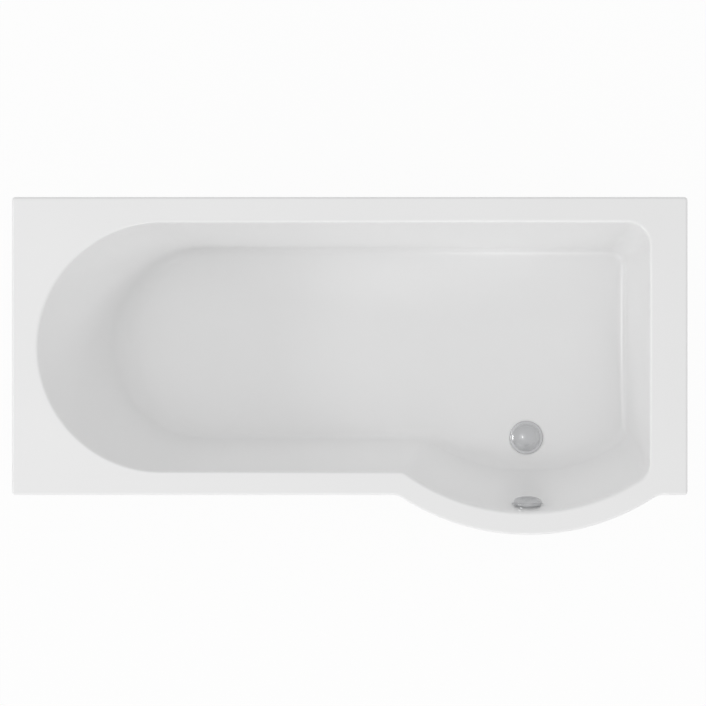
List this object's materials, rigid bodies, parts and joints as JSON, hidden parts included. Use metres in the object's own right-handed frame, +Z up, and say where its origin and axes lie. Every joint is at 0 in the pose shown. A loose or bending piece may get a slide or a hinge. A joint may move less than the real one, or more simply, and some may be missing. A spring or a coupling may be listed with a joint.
{
  "type": "shower bath",
  "caption": "P shaped bath with a bowed shower end, rim battens, levelling legs on cross rails, a pop-up waste and an overflow knob.",
  "frame": {"origin": "on the floor, under the middle of the plan", "axes": "+X to the shower end, +Y to the wall behind the bath, +Z up; the bow stands out towards -Y"},
  "size_m": [1.7, 0.85, 0.55],
  "materials": {
    "white_acrylic": "polished moulded acrylic over glass-fibre laminate",
    "chipboard": "raw chipboard",
    "timber": "planed softwood",
    "galvanised_steel": "galvanised sheet",
    "zinc_plated_steel": "zinc plated",
    "foot_plastic": "moulded nylon",
    "chrome": "polished chrome plate",
    "seal_rubber": "soft sealing rubber",
    "fitting_plastic": "moulded polypropylene",
    "white_hose": "corrugated polyethylene",
    "cable_sheath": "extruded sheath",
    "brass": "turned brass"
  },
  "bodies": {
    "tub": {"bath_shell": "white_acrylic", "baseboard": "chipboard", "batten_back": "timber", "batten_front": "timber", "batten_head": "timber", "batten_foot": "timber", "batten_bow": "timber", "rail_head": "galvanised_steel", "rail_foot": "galvanised_steel", "rail_screws": "zinc_plated_steel", "centre_leg_plate": "galvanised_steel", "plate_screws": "zinc_plated_steel", "upper_leg_nuts": "zinc_plated_steel", "lower_leg_nuts": "zinc_plated_steel", "wall_bracket_1": "galvanised_steel", "wall_bracket_2": "galvanised_steel", "bracket_screws": "zinc_plated_steel", "waste_flange": "chrome", "flange_gasket": "seal_rubber", "waste_gasket": "seal_rubber", "waste_body": "fitting_plastic", "lever_pin": "zinc_plated_steel", "waste_hose_nut": "fitting_plastic", "overflow_body": "fitting_plastic", "overflow_gasket": "seal_rubber", "overflow_face": "chrome", "overflow_screws": "zinc_plated_steel", "overflow_hose_nut": "fitting_plastic", "overflow_hose": "white_hose", "control_cable": "cable_sheath", "cable_nuts": "fitting_plastic"},
    "knob": {"overflow_knob": "chrome", "knob_spindle": "brass"},
    "plug": {"plug": "chrome", "plug_seal": "seal_rubber"},
    "lever": {"waste_lever": "fitting_plastic"},
    "leg_1": {"leg_stud_1": "zinc_plated_steel", "foot_1": "foot_plastic"},
    "leg_2": {"leg_stud_2": "zinc_plated_steel", "foot_2": "foot_plastic"},
    "leg_3": {"leg_stud_3": "zinc_plated_steel", "foot_3": "foot_plastic"},
    "leg_4": {"leg_stud_4": "zinc_plated_steel", "foot_4": "foot_plastic"},
    "leg_5": {"leg_stud_5": "zinc_plated_steel", "foot_5": "foot_plastic"}
  },
  "joints": [
    {"name": "knob_turn", "type": "hinge", "parent": "tub", "child": "knob", "pos_m": [0.448, -0.35063, 0.484], "axis": [0, 0.9671, 0.2545], "range_deg": [0, 120]},
    {"name": "lever_rock", "type": "hinge", "parent": "tub", "child": "lever", "pos_m": [0.475, -0.182, 0.117], "axis": [0, 1, 0], "range_deg": [0, 21.35]},
    {"name": "plug_lift", "type": "slide", "parent": "tub", "child": "plug", "axis": [0, 0, 1], "range_m": [0, 0.01]},
    {"name": "leg_1_level", "type": "slide", "parent": "tub", "child": "leg_1", "axis": [0, 0, 1], "range_m": [-0.02, 0.012]},
    {"name": "leg_2_level", "type": "slide", "parent": "tub", "child": "leg_2", "axis": [0, 0, 1], "range_m": [-0.02, 0.012]},
    {"name": "leg_3_level", "type": "slide", "parent": "tub", "child": "leg_3", "axis": [0, 0, 1], "range_m": [-0.02, 0.012]},
    {"name": "leg_4_level", "type": "slide", "parent": "tub", "child": "leg_4", "axis": [0, 0, 1], "range_m": [-0.02, 0.012]},
    {"name": "leg_5_level", "type": "slide", "parent": "tub", "child": "leg_5", "axis": [0, 0, 1], "range_m": [-0.02, 0.012]}
  ],
  "couplings": [
    {"joint": "lever_rock", "follows": "knob_turn", "ratio": 0.17787},
    {"joint": "plug_lift", "follows": "knob_turn", "m_per_rad": 0.0047746}
  ]
}
